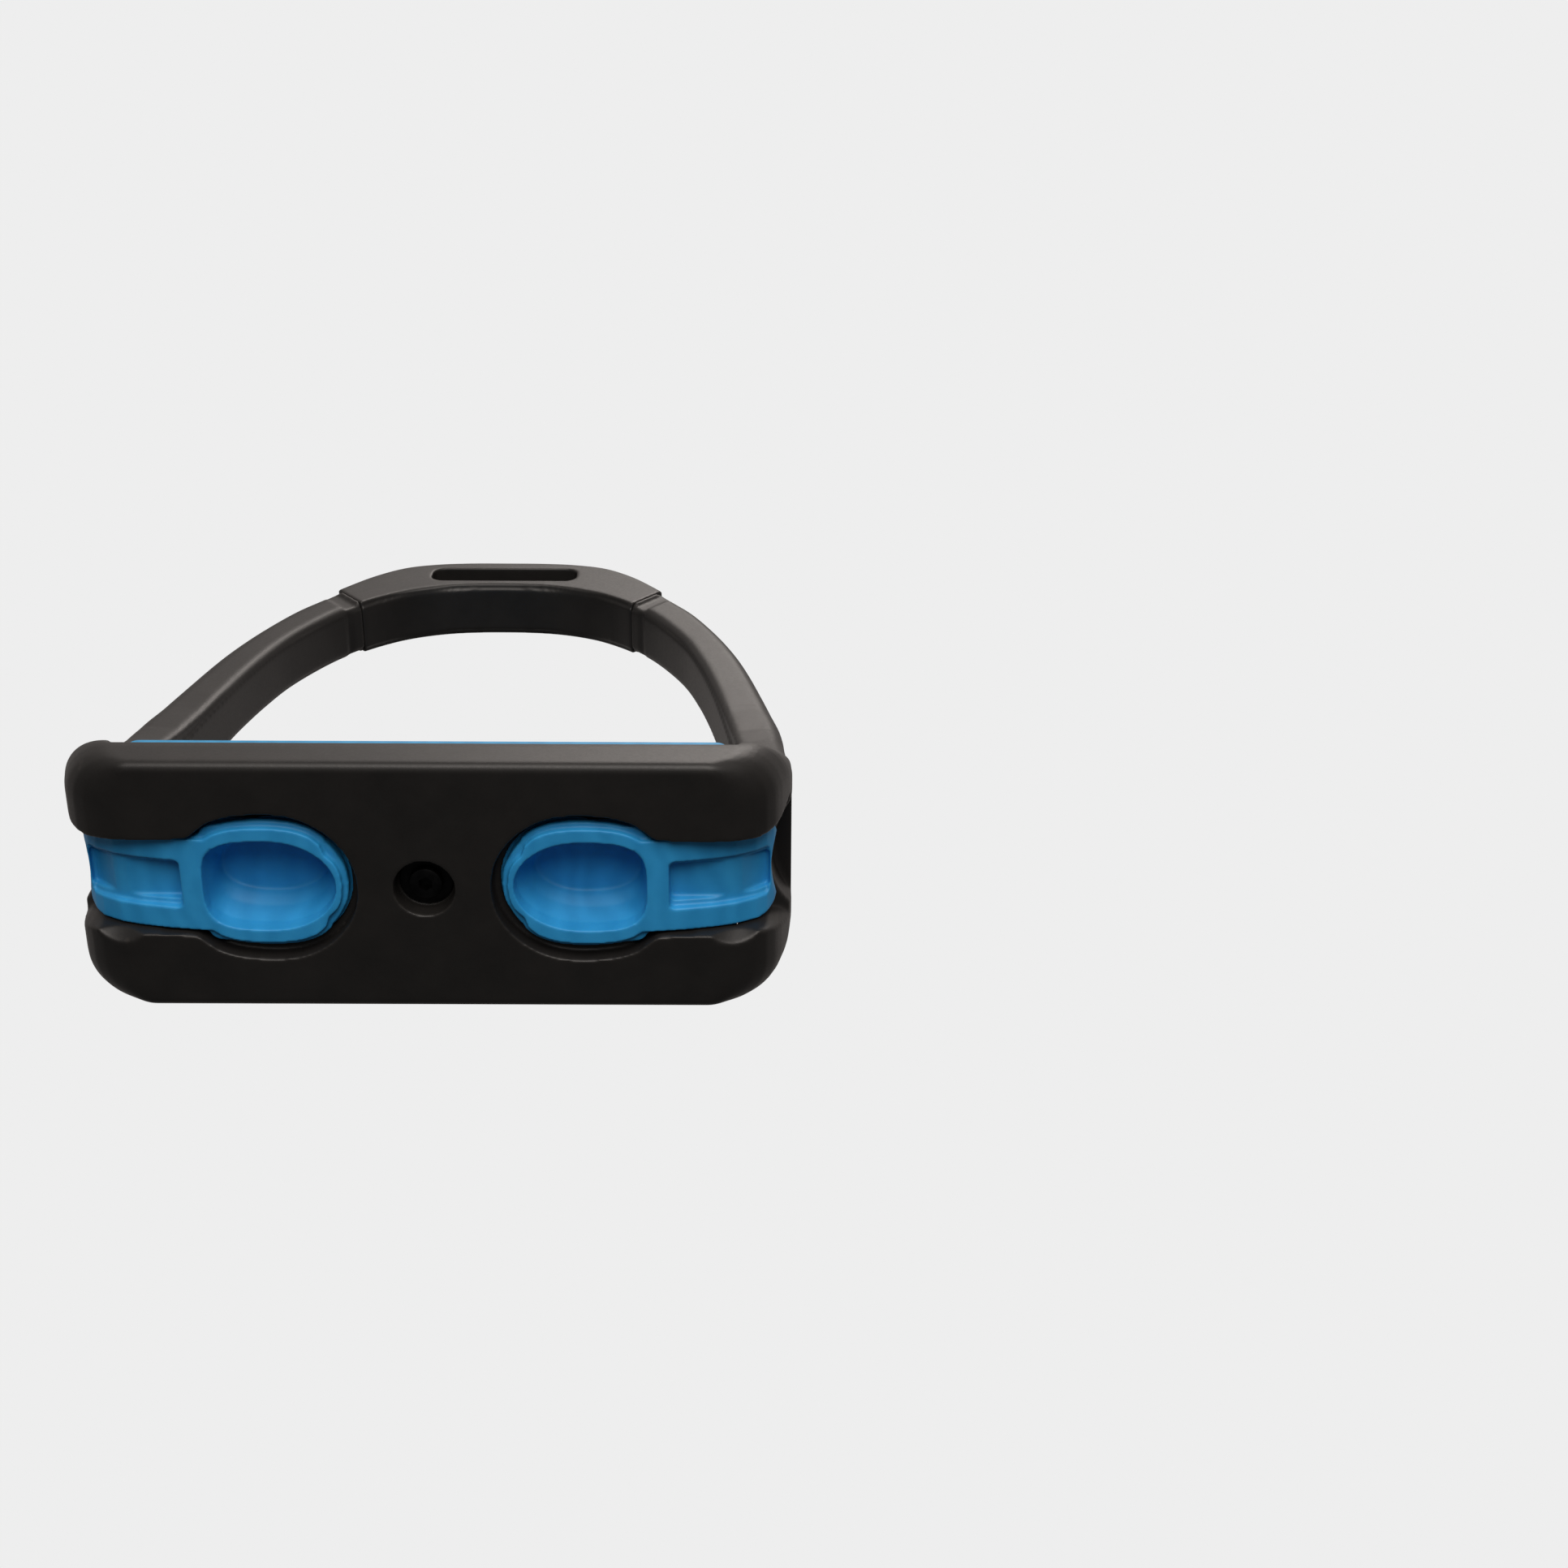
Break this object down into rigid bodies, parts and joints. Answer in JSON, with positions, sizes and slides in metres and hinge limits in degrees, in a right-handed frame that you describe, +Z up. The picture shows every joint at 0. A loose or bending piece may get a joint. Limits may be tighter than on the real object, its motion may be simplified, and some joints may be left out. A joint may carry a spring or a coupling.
{
  "type": "stirrup iron",
  "caption": "Composite riding stirrup with a separate eye piece, a cushioned grip tread that sinks and rocks on a central post, and hollow elastomer cushions.",
  "frame": {"origin": "middle of the footbed's underside, on the surface it stands on", "axes": "+X across the tread from arm to arm, +Y from the front long side to the back one, +Z up to the leather slot"},
  "size_m": [0.142, 0.0534, 0.16],
  "materials": {
    "black_composite": "fine satin",
    "eye_composite": "fine satin",
    "dowel_steel": "ground",
    "cushion_elastomer": "satin",
    "bush_polymer": "satin",
    "post_steel": "ground",
    "washer_steel": "black oxide",
    "screw_steel": "black oxide",
    "plate_composite": "satin",
    "pad_elastomer": "satin"
  },
  "bodies": {
    "frame": {"frame_moulding": "black_composite", "eye_piece": "eye_composite", "eye_dowels": "dowel_steel", "cushion_left": "cushion_elastomer", "cushion_right": "cushion_elastomer", "guide_bush": "bush_polymer"},
    "post": {"rocker_post": "post_steel", "post_washer": "washer_steel", "post_screw": "screw_steel"},
    "tread": {"tread_plate": "plate_composite", "tread_pad": "pad_elastomer"}
  },
  "joints": [
    {"name": "tread_press", "type": "slide", "parent": "frame", "child": "post", "axis": [0, 0, 1], "range_m": [-0.0018, 0], "stiffness_N_per_m": 30000, "deforming": ["cushion_left", "cushion_right"]},
    {"name": "tread_rock", "type": "hinge", "parent": "post", "child": "tread", "pos_m": [0, 0, 0.0122], "axis": [0, 1, 0], "range_deg": [-1.2, 1.2], "stiffness_Nm_per_rad": 8, "deforming": ["cushion_left", "cushion_right"]}
  ]
}
